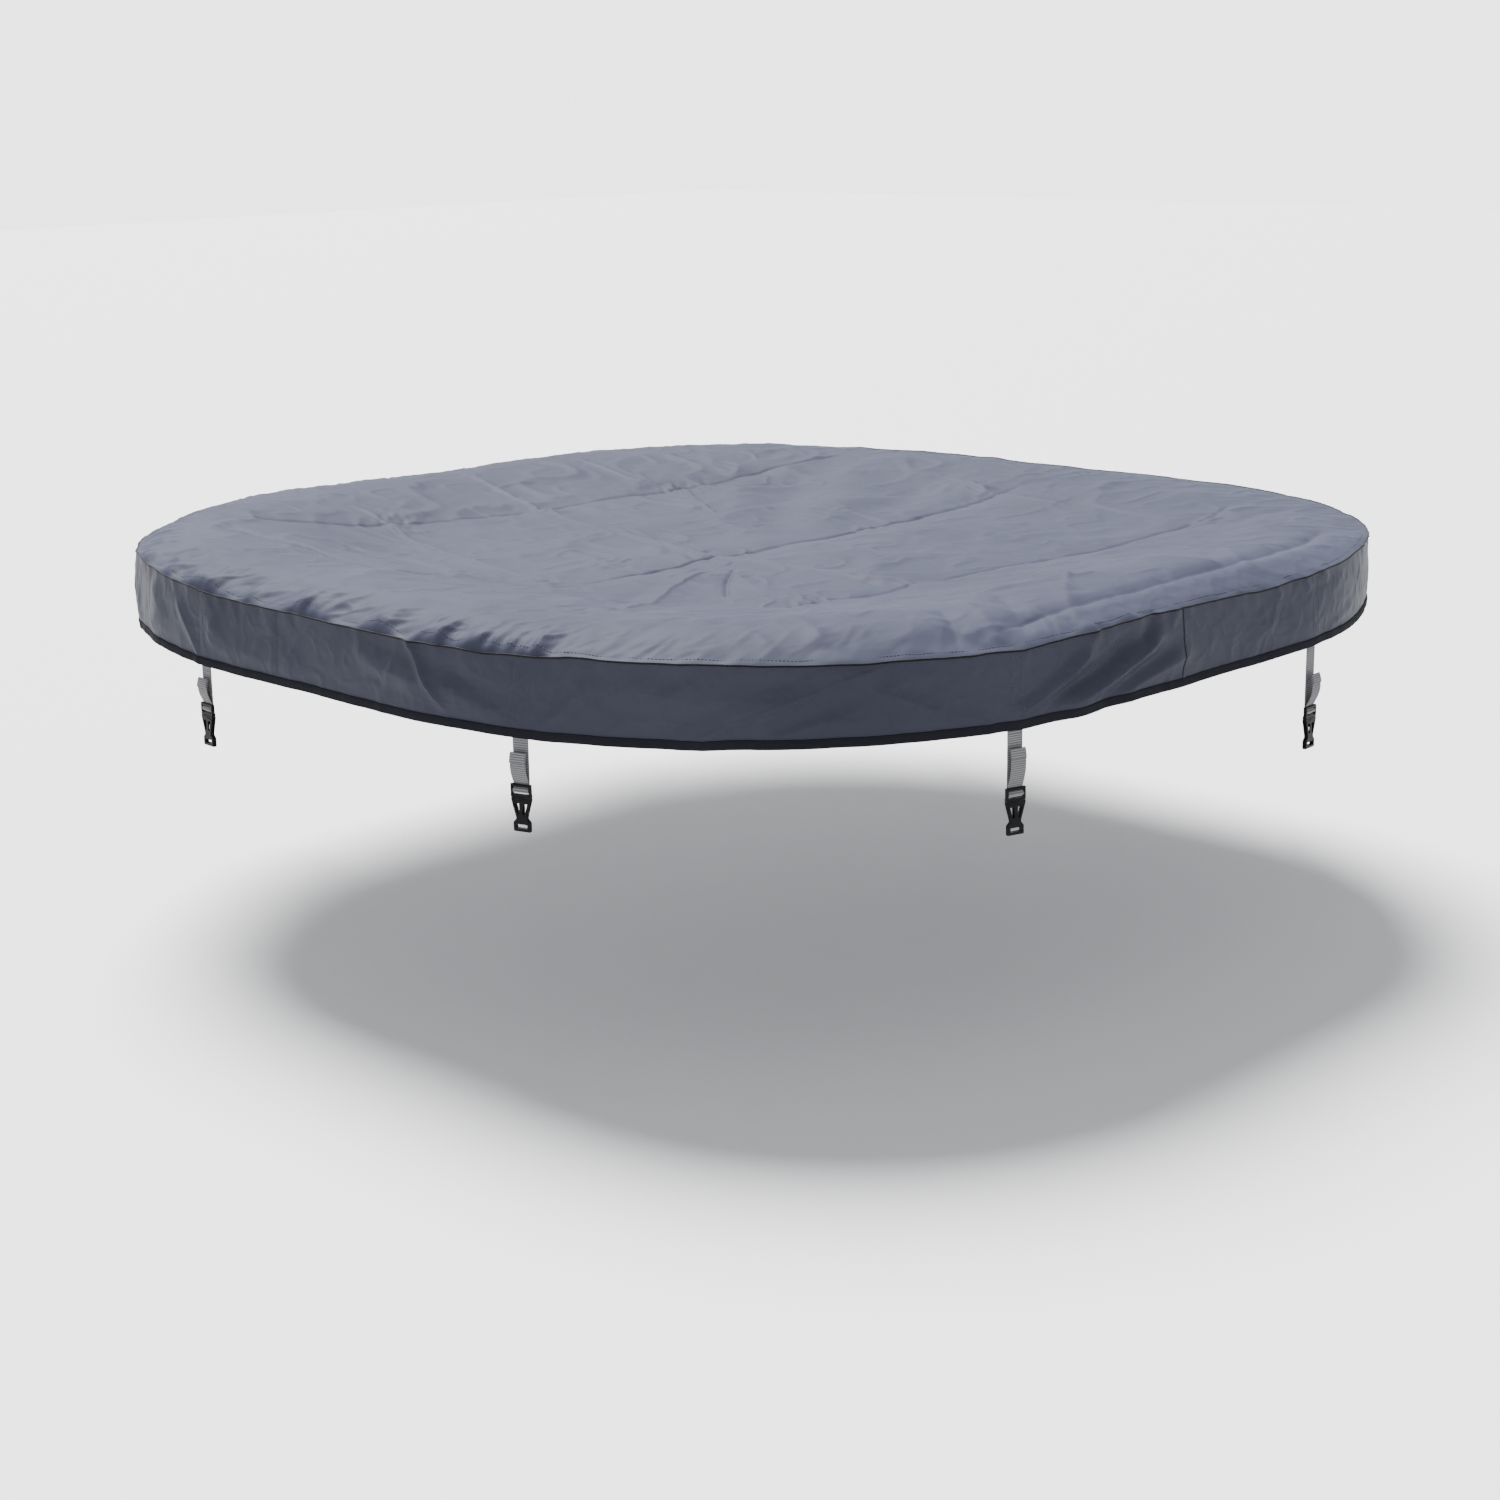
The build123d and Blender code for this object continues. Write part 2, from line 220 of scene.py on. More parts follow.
# Short pinches where packing creases cross: centre, direction in degrees.
PINCHES = [
    ((-0.06, 0.50), 35), ((-0.36, 0.50), 70), ((0.29, 0.49), 55), ((0.19, -0.08), 60), ((-0.166, -0.03), 65),
    ((-0.55, 0.13), 60), ((-0.50, -0.02), 75), ((-0.30, 0.03), 40), ((0.64, 0.03), 60), ((-0.36, -0.45), 50),
    ((-0.16, -0.40), 88), ((0.33, 0.45), 50), ((-0.33, 0.56), 50), ((-0.68, -0.36), 20), ((0.56, -0.53), 20),
]


def from_left(s):
    """Arc length brought into one turn that starts on the left side's middle."""
    return (np.asarray(s, float) + 1.56) % PERIMETER - 1.56


def rim_crest(s):
    """Height of the rim's bulge above the seam, by arc length round the outline."""
    stops = [-1.56, -0.90, 0.0, 0.90, 1.30, 1.56, 2.34, 2.80, 3.12, 3.90, 4.20, 4.50, 4.68]
    heights = [0.050, 0.040, 0.035, 0.032, 0.024, 0.012, 0.008, 0.009, 0.024, 0.025, 0.036, 0.045, 0.050]
    return np.interp(from_left(s), stops, heights)


def seam_height(s):
    """The seam lies a little up or down round the rim."""
    stops = [-1.56, -1.30, -1.15, -1.00, -0.70, -0.35, -0.25, -0.08, 0.10, 0.36, 0.44, 0.60, 0.75, 0.92,
             1.10, 1.30, 1.56, 2.40, 3.12, 3.90, 4.60]
    shifts = [0.012, 0.018, 0.013, 0.004, 0.0015, 0.0015, 0.006, 0.002, 0.0, -0.003, 0.001, 0.006, 0.002,
              -0.002, 0.003, 0.010, 0.004, -0.002, 0.002, 0.0, 0.006]
    s = from_left(s)
    base = np.interp(s, stops + [PERIMETER - 1.56], shifts + shifts[:1])
    return SEAM_Z + base + 0.0012 * ring_noise(s, 0 * s, 0.045, 31)


# Places where the sheet stands up from the seam as a wall: middle, half width, amount.
WALLS = [
    (-1.31, 0.05, 0.7), (-1.17, 0.035, 0.6), (-1.05, 0.075, 1.0), (-0.93, 0.03, 0.6), (-0.79, 0.065, 1.0),
    (-0.62, 0.05, 0.7), (-0.50, 0.045, 0.9), (-0.41, 0.06, 1.0), (-0.33, 0.03, 0.8), (0.56, 0.05, 0.35),
    (0.86, 0.05, 0.3), (3.5, 0.08, 0.5), (2.2, 0.06, 0.5),
]


def bulge_step(s):
    """How much of the climb from the seam is a steep wall."""
    s = from_left(s)
    total = 0.10 + 0.08 * ring_noise(s, 0 * s, 0.05, 33)
    jag = 0.82 + 0.30 * ring_noise(s, 0 * s, 0.014, 34)
    for middle, half, amount in WALLS:
        total = np.maximum(total, amount * jag * np.clip(1.15 - np.abs(s - middle) / half, 0, 1))
    return np.clip(total, 0, 0.95)


def top_height(x, y, s):
    inset = edge_distance(x, y)
    seam_here = seam_height(s)
    crest_height = rim_crest(s) + SEAM_Z - seam_here
    step = bulge_step(s)
    share = np.clip(inset / 0.100, 0, 1)
    slow = np.sin(np.pi / 2 * share) ** 1.1
    steep = 1 - np.exp(-inset / 0.0075)
    rise = slow * (1 - step) + steep * step * (0.82 + 0.18 * slow)
    # Rim bulge, then the dish of the middle.
    z = seam_here + crest_height * rise
    crest_z = seam_here + crest_height
    z = z - (crest_z - SAG_Z) * smooth((inset - 0.115) / 0.36)
    # Waves and crushed-cloth relief, from coarse to fine.
    middle = smooth((inset - 0.05) / 0.15)
    z = z + 0.0040 * noise(x, y, 0.30, 3) * middle
    z = z + 0.0016 * noise(x, y, 0.11, 4) * middle
    z = z + 0.0005 * noise(x, y, 0.040, 5) * smooth(inset / 0.02)
    z = z + 0.0002 * noise(x, y, 0.014, 6) * smooth(inset / 0.02)
    z = z - 0.0032 * crumple(x, y, 0.13, 81) * smooth((inset - 0.03) / 0.10)
    z = z - 0.0018 * crumple(x, y, 0.055, 82) * smooth((inset - 0.01) / 0.03)
    # Gathers near the seam, strongest on the left.
    rough = np.interp(from_left(s), [-1.56, -1.2, -0.3, 0.0, 1.4, 3.9, 4.68],
                      [1.0, 1.0, 0.8, 0.35, 0.3, 0.5, 1.0]) * np.exp(-((inset - 0.05) / 0.07) ** 2)
    z = z - 0.0026 * rough * ring_crumple(s - 0.7 * inset, inset * 0.4, 0.030, 83) * smooth(inset / 0.012)
    z = z - 0.0010 * rough * ring_crumple(s - inset, inset * 0.6, 0.018, 84) * smooth(inset / 0.012)
    edge = smooth(inset / 0.030)
    for line, height, width, sharp in PACKING_CREASES:
        z = z + crease(x, y, line, height, width, sharp) * edge
    for line, height, width, sharp, taper in SOFT_FOLDS:
        d, t = line_distance(x, y, line)
        ends = smooth(np.minimum(t, 1 - t) / taper)
        z = z + ends * (height * np.exp(-(d / width) ** 2) + sharp * np.exp(-(d / 0.004) ** 2)) * edge
    for (px, py), turn in PINCHES:
        c = math.cos(math.radians(turn))
        q = math.sin(math.radians(turn))
        along = (x - px) * c + (y - py) * q
        across = (y - py) * c - (x - px) * q
        patch = np.exp(-(along / 0.050) ** 2 - (across / 0.030) ** 2)
        z = z + 0.0034 * patch * noise(along * 0.35, across, 0.010, 51)
    near = np.exp(-(inset / 0.050) ** 2)
    lean = 0.8 * inset
    gather = ring_noise(s - lean, inset * 0.4, 0.034, 7)
    gather = gather + 0.7 * ring_noise(s + 0.4 * inset, inset * 0.5, 0.015, 8)
    often = 0.35 + 0.65 * smooth(ring_noise(s, 0 * s, 0.10, 9) + 0.5)
    return z + 0.0018 * often * gather * near * smooth(inset / 0.012)


# Folds of the skirt: arc length and share of the way down, height, half width, height of the sharp line.
SKIRT_FOLDS = [
    ([(0.350, 0.80), (0.42, 0.55), (0.50, 0.15)], 0.0110, 0.014, 0.0010),
    ([(0.440, 0.86), (0.54, 0.60), (0.665, 0.22)], 0.0120, 0.015, 0.0012),
    ([(0.400, 0.72), (0.50, 0.50), (0.60, 0.14)], -0.0075, 0.014, 0.0),
    ([(0.500, 0.90), (0.60, 0.62), (0.70, 0.40)], -0.0050, 0.014, 0.0),
    ([(0.530, 0.94), (0.64, 0.72), (0.74, 0.56)], 0.0055, 0.014, 0.0006),
    ([(0.600, 0.30), (0.625, 0.10), (0.64, 0.0)], -0.0050, 0.014, 0.0),
    ([(0.480, 0.14), (0.505, 0.0)], 0.0040, 0.012, 0.0),
    ([(0.330, 0.92), (0.22, 0.62), (0.12, 0.25)], 0.0035, 0.012, 0.0010),
    ([(-0.130, 0.95), (-0.100, 0.90), (0.0, 0.53), (0.12, 0.13), (0.16, 0.05)], 0.0070, 0.022, 0.0018),
    ([(-0.080, 0.95), (0.03, 0.60), (0.16, 0.22)], -0.0050, 0.018, 0.0),
    ([(-0.200, 0.30), (-0.10, 0.45), (0.0, 0.40)], 0.0035, 0.020, 0.0),
    ([(0.0, 0.22), (0.06, 0.30), (0.13, 0.25)], -0.0028, 0.016, 0.0),
    ([(0.0, 0.60), (-0.02, 0.90)], 0.0020, 0.012, 0.0),
    ([(-0.550, 0.0), (-0.535, 0.10), (-0.505, 0.50), (-0.465, 0.88)], 0.0050, 0.010, 0.0022),
    ([(-0.335, 0.90), (-0.42, 0.62), (-0.56, 0.45), (-0.68, 0.35)], 0.0050, 0.022, 0.0),
    ([(-0.345, 0.80), (-0.43, 0.42), (-0.50, 0.20)], -0.0035, 0.018, 0.0),
    ([(-0.330, 0.90), (-0.30, 0.60), (-0.26, 0.10)], -0.0028, 0.014, 0.0),
    ([(-0.325, 0.88), (-0.28, 0.62), (-0.24, 0.30)], 0.0026, 0.012, 0.0),
    ([(-0.670, 0.20), (-0.60, 0.40), (-0.50, 0.55)], 0.0028, 0.018, 0.0),
    ([(-1.060, 0.92), (-1.09, 0.55), (-1.13, 0.15)], 0.0040, 0.014, 0.0008),
    ([(-1.030, 0.30), (-0.98, 0.62), (-0.86, 0.72), (-0.76, 0.55)], 0.0034, 0.024, 0.0),
    ([(-1.055, 0.85), (-1.01, 0.50), (-1.05, 0.12)], 0.0030, 0.018, 0.0),
    ([(-1.250, 0.85), (-1.20, 0.45), (-1.24, 0.10)], 0.0045, 0.025, 0.0),
    ([(-1.380, 0.95), (-1.40, 0.40), (-1.44, 0.05)], 0.0060, 0.035, 0.0),
    ([(0.280, 0.0), (0.29, 0.24)], 0.0024, 0.007, 0.0),
    ([(0.365, 0.0), (0.360, 0.25)], 0.0028, 0.007, 0.0),
    ([(0.690, 0.0), (0.665, 0.22)], 0.0022, 0.010, 0.0),
    ([(0.940, 0.0), (0.955, 0.18)], 0.0024, 0.008, 0.0),
    ([(1.020, 0.0), (1.035, 0.22)], 0.0024, 0.008, 0.0),
    ([(1.070, 0.0), (1.095, 0.16)], 0.0024, 0.008, 0.0),
    ([(1.060, 0.95), (0.98, 0.60), (0.86, 0.50)], 0.0022, 0.022, 0.0),
    ([(1.878, 0.95), (1.95, 0.50), (2.10, 0.10)], 0.0050, 0.026, 0.0),
    ([(2.705, 0.92), (2.60, 0.50), (2.50, 0.10)], 0.0050, 0.026, 0.0),
    ([(3.533, 0.92), (3.62, 0.50), (3.75, 0.10)], 0.0055, 0.026, 0.0),
    ([(4.360, 0.92), (4.28, 0.50), (4.15, 0.08)], 0.0050, 0.026, 0.0),
    ([(3.05, 0.90), (3.12, 0.50), (3.22, 0.10)], 0.0040, 0.030, 0.0008),
]


def skirt_offset(s, t):
    """Outward shift of the skirt at arc length s and share t from the seam down to the hem."""
    s = np.asarray(s, float)
    low = smooth((t - 0.86) / 0.14)
    t = np.minimum(t, 0.86)
    wave = 0.0022 * ring_noise(s, t * 0.12, 0.16, 21) + 0.0010 * ring_noise(s, t * 0.2, 0.05, 22)
    gather = 0.0013 * ring_noise(s - 0.03 * t, 0 * s, 0.017, 23) * (1 - smooth(t * 3))
    out = wave * smooth(t * 2) + gather + 0.003 * np.sin(np.pi * t)
    down = t * SKIRT_DROP
    out = out + 0.0014 * (0.6 - ring_crumple(s + down * 0.5, down * 1.3, 0.075, 91)) * smooth(t * 4)
    out = out + 0.0008 * (0.6 - ring_crumple(s, down, 0.022, 92)) * smooth(t * 5)
    for line, height, width, sharp in SKIRT_FOLDS:
        scaled = [(a, b * SKIRT_DROP) for a, b in line]
        for lap in (-PERIMETER, 0.0, PERIMETER):
            if np.max(s) + lap < scaled[0][0] - 0.6 or np.min(s) + lap > scaled[0][0] + 0.6:
                continue
            d, u = line_distance(s + lap, down, scaled)
            ends = smooth(np.minimum(u + 0.10, 1 - u) / 0.25)
            peak = 0.5 * np.exp(-(d / width) ** 2) + 0.5 * np.maximum(0, 1 - d / (1.3 * width))
            out = out + ends * (height * peak + sharp * np.exp(-(d / 0.003) ** 2))
    out = out * (1 - 0.3 * low) - 0.0006
    for arc in STRAP_ARCS:
        near = np.abs(np.mod(s - arc + PERIMETER / 2, PERIMETER) - PERIMETER / 2)
        out = np.where(near < 0.034, np.maximum(out, -0.0004 - 0.010 * smooth((near - 0.0145) / 0.0195)), out)
    return out


def skirt_height(s, t):
    return seam_height(s) + (hem_height(s) + 0.0008 - seam_height(s)) * t


def hem_height(s):
    return HEM_Z + 0.0012 + 0.0016 * ring_noise(s, 0 * s, 0.14, 41) + 0.35 * (seam_height(s) - SEAM_Z)


def skirt_points(s, t, lift=0.0):
    """Points of the skirt at arc lengths s and share t of the way down."""
    x, y, nx, ny = outline(s)
    out = skirt_offset(s, t) + lift
    return np.stack([x + nx * out, y + ny * out, skirt_height(s, t)], 1)


# ---------------------------------------------------------------- mesh helpers
def make_mesh(name, points, faces, uvs=None, material=None):
    mesh = bpy.data.meshes.new(name)
    mesh.from_pydata([tuple(p) for p in points], [], faces)
    mesh.update()
    if uvs is not None:
        layer = mesh.uv_layers.new(name="UVMap")
        loops = np.zeros(len(mesh.loops), np.int32)
        mesh.loops.foreach_get("vertex_index", loops)
        layer.data.foreach_set("uv", np.asarray(uvs, np.float32)[loops].ravel())
    mesh.polygons.foreach_set("use_smooth", [True] * len(mesh.polygons))
    obj = bpy.data.objects.new(name, mesh)
    bpy.context.scene.collection.objects.link(obj)
    if material is not None:
        mesh.materials.append(material)
    return obj


def grid_faces(rows, cols, wrap):
    faces = []
    last = cols if wrap else cols - 1
    for i in range(rows - 1):
        for j in range(last):
            k = (j + 1) % cols
            faces.append((i * cols + j, i * cols + k, (i + 1) * cols + k, (i + 1) * cols + j))
    return faces


# ---------------------------------------------------------------- materials
def new_material(name):
    material = bpy.data.materials.new(name)
    material.use_nodes = True
    nodes = material.node_tree.nodes
    links = material.node_tree.links
    shader = nodes["Principled BSDF"]
    return material, nodes, links, shader


def cloth_material(name, dark, light, rough, weave, bump, shine=0.5, rib=0.0):
    """Two close tones in soft clouds with a fine weave; shine is the specular level."""
    material, nodes, links, shader = new_material(name)
    coords = nodes.new("ShaderNodeTexCoord")
    cloud = nodes.new("ShaderNodeTexNoise")
    cloud.inputs["Scale"].default_value = 3.0
    cloud.inputs["Detail"].default_value = 4.0
    links.new(coords.outputs["Object"], cloud.inputs["Vector"])
    ramp = nodes.new("ShaderNodeValToRGB")
    ramp.color_ramp.elements[0].position = 0.3
    ramp.color_ramp.elements[0].color = (*dark, 1)
    ramp.color_ramp.elements[1].position = 0.7
    ramp.color_ramp.elements[1].color = (*light, 1)
    links.new(cloud.outputs["Fac"], ramp.inputs["Fac"])
    colour = ramp.outputs["Color"]
    if rib:
        # Woven ribs across the webbing: bands along the run, darkened as painted shade in the grooves between
        # the ribs; rib is their pitch in metres.
        bands = nodes.new("ShaderNodeTexWave")
        bands.bands_direction = "Y"
        bands.inputs["Scale"].default_value = math.pi / (10 * rib)
        links.new(coords.outputs["UV"], bands.inputs["Vector"])
        shade = nodes.new("ShaderNodeMixRGB")
        shade.inputs["Color1"].default_value = (dark[0] * 0.45, dark[1] * 0.45, dark[2] * 0.45, 1)
        links.new(bands.outputs["Fac"], shade.inputs["Fac"])
        links.new(colour, shade.inputs["Color2"])
        colour = shade.outputs["Color"]
    links.new(colour, shader.inputs["Base Color"])
    fine = nodes.new("ShaderNodeTexNoise")
    fine.inputs["Scale"].default_value = weave
    fine.inputs["Detail"].default_value = 2.0
    links.new(coords.outputs["Object"], fine.inputs["Vector"])
    relief = nodes.new("ShaderNodeBump")
    relief.inputs["Strength"].default_value = bump
    relief.inputs["Distance"].default_value = 0.0004
    links.new(fine.outputs["Fac"], relief.inputs["Height"])
    links.new(relief.outputs["Normal"], shader.inputs["Normal"])
    shader.inputs["Roughness"].default_value = rough
    shader.inputs["Specular IOR Level"].default_value = shine
    return material


TOP_CLOTH = cloth_material("top_cloth", (0.0255, 0.0275, 0.041), (0.031, 0.0335, 0.049), 0.55, 900, 0.5,
                           0.012)
# The skirt is the same fabric as the top, set a little darker and less blue as painted shade of the side
# walls.
SKIRT_CLOTH = cloth_material("skirt_cloth", (0.0250, 0.0262, 0.0370), (0.0305, 0.0320, 0.0445), 0.48, 900,
                             0.5, 0.035)
# seam_cloth is near black: on the welt this is partly the dark cord and thread, and partly painted shadow of
# the gap at the seam.
SEAM_CLOTH = cloth_material("seam_cloth", (0.004, 0.004, 0.005), (0.006, 0.006, 0.007), 0.8, 900, 0.5, 0.1)
BINDING = cloth_material("binding_cloth", (0.0080, 0.0084, 0.0112), (0.0100, 0.0105, 0.0135), 0.8, 900, 0.5,
                         0.03)
WEBBING = cloth_material("webbing", (0.150, 0.150, 0.155), (0.185, 0.185, 0.190), 0.75, 900, 0.6, 0.1,
                         RIB_PITCH)
FOIL = cloth_material("foil_liner", (0.55, 0.56, 0.58), (0.65, 0.66, 0.68), 0.42, 200, 0.6)
FILM = cloth_material("insert_film", (0.20, 0.22, 0.26), (0.25, 0.27, 0.31), 0.35, 300, 0.3)
THREAD = cloth_material("thread", (0.045, 0.045, 0.053), (0.060, 0.060, 0.070), 0.8, 900, 0.2, 0.1)
PLASTIC = cloth_material("buckle_plastic", (0.0025, 0.0025, 0.0030), (0.004, 0.004, 0.0045), 0.34, 500, 0.12,
                         0.06)
VALVE = cloth_material("valve_plastic", (0.60, 0.61, 0.63), (0.66, 0.67, 0.69), 0.4, 500, 0.1)
ZIP_CLOTH = cloth_material("zip_cloth", (0.012, 0.012, 0.013), (0.018, 0.018, 0.02), 0.8, 900, 0.5)
ZIP_PLASTIC = cloth_material("zip_plastic", (0.012, 0.012, 0.013), (0.016, 0.016, 0.017), 0.3, 500, 0.2)

NODE_MATERIALS = {
    "buckle": PLASTIC,
    "zip_tape": ZIP_CLOTH,
    "zip": ZIP_PLASTIC,
    "strap": WEBBING,
    "insert": VALVE,
    "valve": VALVE,
}
for node_name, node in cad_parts.items():
    for start, material in NODE_MATERIALS.items():
        if node_name.startswith(start):
            node.data.materials.clear()
            node.data.materials.append(material)
            break


# ---------------------------------------------------------------- top sheet
def build_top():
    around = 1440
    s = np.arange(around) * PERIMETER / around
    insets = np.concatenate([
        np.linspace(0.0, 0.06, 26),
        np.linspace(0.063, 0.20, 34),
        np.linspace(0.2045, 0.46, 58),
    ])
    points = []
    follow = skirt_offset(s, 0.0)
    for inset in insets:
        x, y, nx, ny = outline(s, inset)
        z = top_height(x, y, s)
        shift = (follow + 0.0003) * (1 - smooth(inset / 0.03))
        points.append(np.stack([x + nx * shift, y + ny * shift, z], 1))
    last_x, last_y = points[-1][:, 0], points[-1][:, 1]
    for k in range(1, 111):
        q = 1 - k / 110.5
        x = last_x * q
        y = last_y * q
        points.append(np.stack([x, y, top_height(x, y, s)], 1))
    rows = len(points)
    points = np.concatenate(points)
    faces = grid_faces(rows, around, True)
    faces.append(tuple((rows - 1) * around + j for j in range(around)))
    obj = make_mesh("top_sheet", points, faces, points[:, :2], TOP_CLOTH)
    return obj


top = build_top()
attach(top, "cover")
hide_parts("top_panel")


# ---------------------------------------------------------------- pocket liner and insert
POCKET_START = 0.270
POCKET_INSET = 0.281
POCKET_Z = -0.0777
LINER_GAP = 0.0014
INSERT_INSET = 0.305
SLIT_Y = -0.560
SLIT_HALF = 0.438


def build_liner():
    around = 960
    s = np.arange(around) * PERIMETER / around
    rows = []
    for inset in np.concatenate([np.linspace(0.0135, 0.06, 14), np.linspace(0.066, POCKET_START, 34)]):
        x, y, _, _ = outline(s, inset)
        rows.append(np.stack([x, y, top_height(x, y, s) - LINER_GAP], 1))
    x, y, nx, ny = outline(s, POCKET_START)
    start_z = rows[-1][:, 2]
    for k in range(1, 15):
        q = k / 14
        inset = POCKET_START + (POCKET_INSET - POCKET_START) * q
        belly = 0.0035 * math.sin(math.pi * q)
        x, y, nx, ny = outline(s, inset)
        wave = 0.0012 * ring_noise(s, q * 0.06 + 0 * s, 0.040, 61) * math.sin(math.pi * q)
        rows.append(np.stack([x - nx * (wave - belly), y - ny * (wave - belly),
                              start_z + (POCKET_Z - start_z) * q], 1))
    points = list(np.concatenate(rows))
    faces = grid_faces(len(rows), around, True)
    limit = WIDTH / 2 - POCKET_INSET
    corner = CORNER - POCKET_INSET
    lines = np.concatenate([np.linspace(-limit, SLIT_Y - 0.003, 12), np.linspace(SLIT_Y + 0.003, limit, 110)])
    cols = 121
    u = np.sin(np.linspace(-np.pi / 2, np.pi / 2, cols))
    first = len(points)
    for line in lines:
        over = max(0.0, abs(line) - HALF_SIDE)
        reach = HALF_SIDE + math.sqrt(max(0.0, corner * corner - over * over))
        x = u * reach
        y = 0 * x + line
        inset = edge_distance(x, y)
        middle = smooth((inset - POCKET_INSET) / 0.06) * (1 - np.exp(-((line - SLIT_Y) / 0.030) ** 2))
        z = POCKET_Z + middle * (0.0011 * noise(x, y, 0.14, 62) + 0.0005 * noise(x, y, 0.04, 63))
        points += list(np.stack([x, y, z], 1))
    slit_row = 11
    for i in range(len(lines) - 1):
        for j in range(cols - 1):
            a = first + i * cols + j
            x_mid = (points[a][0] + points[a + 1][0]) / 2
            if i == slit_row and abs(x_mid) < SLIT_HALF:
                continue
            faces.append((a, a + 1, a + cols + 1, a + cols))
    points = np.array(points)
    return make_mesh("pocket_lining", points, faces, points[:, :2], FOIL)


def build_insert():
    around = 480
    s = np.arange(around) * PERIMETER / around
    mid_z = -0.0580
    edges = np.concatenate([[0.0, 0.0006, 0.0022, 0.005, 0.009, 0.014, 0.020], np.linspace(0.030, 0.380, 24)])
    plan = [(*outline(s, INSERT_INSET + edge)[:2], edge) for edge in edges]
    last_x, last_y, last_edge = plan[-1]
    plan += [(last_x * (1 - k / 14.3), last_y * (1 - k / 14.3), last_edge) for k in range(1, 15)]
    high_rows = []
    low_rows = []
    for x, y, edge in plan:
        full = math.sqrt(max(0.0, 1 - (1 - min(1.0, edge / 0.018)) ** 2))
        high = np.minimum(-0.0415, top_height(x, y, s) - 0.0035)
        low = -0.0735 + 0.0008 * noise(x, y, 0.12, 71) * smooth(edge / 0.04)
        high_rows.append(np.stack([x, y, mid_z + (high - mid_z) * full], 1))
        low_rows.append(np.stack([x, y, mid_z + (low - mid_z) * full], 1))
    rows = high_rows[::-1] + low_rows[1:]
    points = np.concatenate(rows)
    faces = grid_faces(len(rows), around, True)
    faces.append(tuple(range(around))[::-1])
    faces.append(tuple((len(rows) - 1) * around + j for j in range(around)))
    return make_mesh("insert_bag", points, faces, points[:, :2], FILM)


liner = build_liner()
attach(liner, "cover")
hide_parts("pocket_liner")
insert = build_insert()
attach(insert, "cover")
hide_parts("air_insert")


# ---------------------------------------------------------------- skirt
PANEL_JOINTS = [(k - 0.5) * QUARTER - 0.080 for k in range(5)]


def build_skirt(index):
    cols = 520
    rows = 48
    s = np.linspace(PANEL_JOINTS[index], PANEL_JOINTS[index + 1] + 0.006, cols)
    lap = 0.0007 * (s < s[0] + 0.005) - 0.0005 * smooth((s - s[-1] + 0.010) / 0.004)
    points = []
    uvs = []
    for i in range(rows):
        t = i / (rows - 1)
        points.append(skirt_points(s, t, lap))
        uvs.append(np.stack([s, np.full(cols, t * SKIRT_DROP)], 1))
    return make_mesh("skirt_cloth_%d" % (index + 1), np.concatenate(points),
                     grid_faces(rows, cols, False), np.concatenate(uvs), SKIRT_CLOTH)


for index in range(4):
    skirt = build_skirt(index)
    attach(skirt, "cover")
    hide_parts("skirt_panel_%d" % (index + 1))


# ---------------------------------------------------------------- rings of trim
def build_ring(name, profile, material, around=1440):
    """profile gives (outward, height) pairs as functions of s."""
    s = np.arange(around) * PERIMETER / around
    rows = []
    for outward, height in profile(s):
        x, y, nx, ny = outline(s)
        rows.append(np.stack([x + nx * outward, y + ny * outward, height + 0 * s], 1))
    rows.append(rows[0])
    return make_mesh(name, np.concatenate(rows), grid_faces(len(rows), around, True), None, material)


def welt_profile(s):
    base = skirt_offset(s, 0.0)
    height = seam_height(s)
    for a in range(0, 360, 45):
        yield base + 0.0006 + 0.0012 * math.cos(math.radians(a)), height + 0.0015 * math.sin(math.radians(a))


def binding_profile(s):
    low = hem_height(s)
    drop = low + 0.0008 - seam_height(s)
    shares = [1 + (high - 0.0008) / drop for high in (0.0132, 0.0110, 0.0085, 0.0060, 0.0035)]
    outs = [skirt_offset(s, share) for share in shares]
    tip = skirt_offset(s, 1.0)
    yield outs[0] + 0.0010, low + 0.0136
    yield outs[0] + 0.0018, low + 0.0128
    for out, high in zip(outs[1:], (0.0110, 0.0085, 0.0060, 0.0035)):
        yield out + 0.0019, low + high
    yield tip + 0.0018, low + 0.0012
    yield tip + 0.0002, low
    yield tip - 0.0012, low + 0.0010
    yield outs[2] - 0.0014, low + 0.0085
    yield outs[0] - 0.0014, low + 0.0125
    yield outs[0] - 0.0006, low + 0.0132


# The welt ring's near-black colour is partly the cord itself and partly painted shadow of the seam gap.
welt = build_ring("seam_piping_with_painted_gap_shadow", welt_profile, SEAM_CLOTH)
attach(welt, "cover")
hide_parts("seam_welt")
binding = build_ring("hem_tape", binding_profile, BINDING)
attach(binding, "cover")
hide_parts("hem_binding")


# ---------------------------------------------------------------- stitching
def build_stitches(name, places, length, width, material):
    """places: (middle, direction along the stitch, direction out of the cloth)."""
    points = []
    faces = []
    for middle, along, out in places:
        side = np.cross(along, out)
        first = len(points)
        for u, v, w in [(-1, -1, -1), (1, -1, -1), (1, 1, -1), (-1, 1, -1), (-0.7, -0.7, 1), (0.7, -0.7, 1),
                        (0.7, 0.7, 1), (-0.7, 0.7, 1)]:
            points.append(middle + along * u * length / 2 + side * v * width / 2 + out * w * width * 0.45)
        for face in [(4, 5, 6, 7), (0, 1, 5, 4), (1, 2, 6, 5), (2, 3, 7, 6), (3, 0, 4, 7), (3, 2, 1, 0)]:
            faces.append(tuple(first + i for i in face))
    return make_mesh(name, points, faces, None, material)


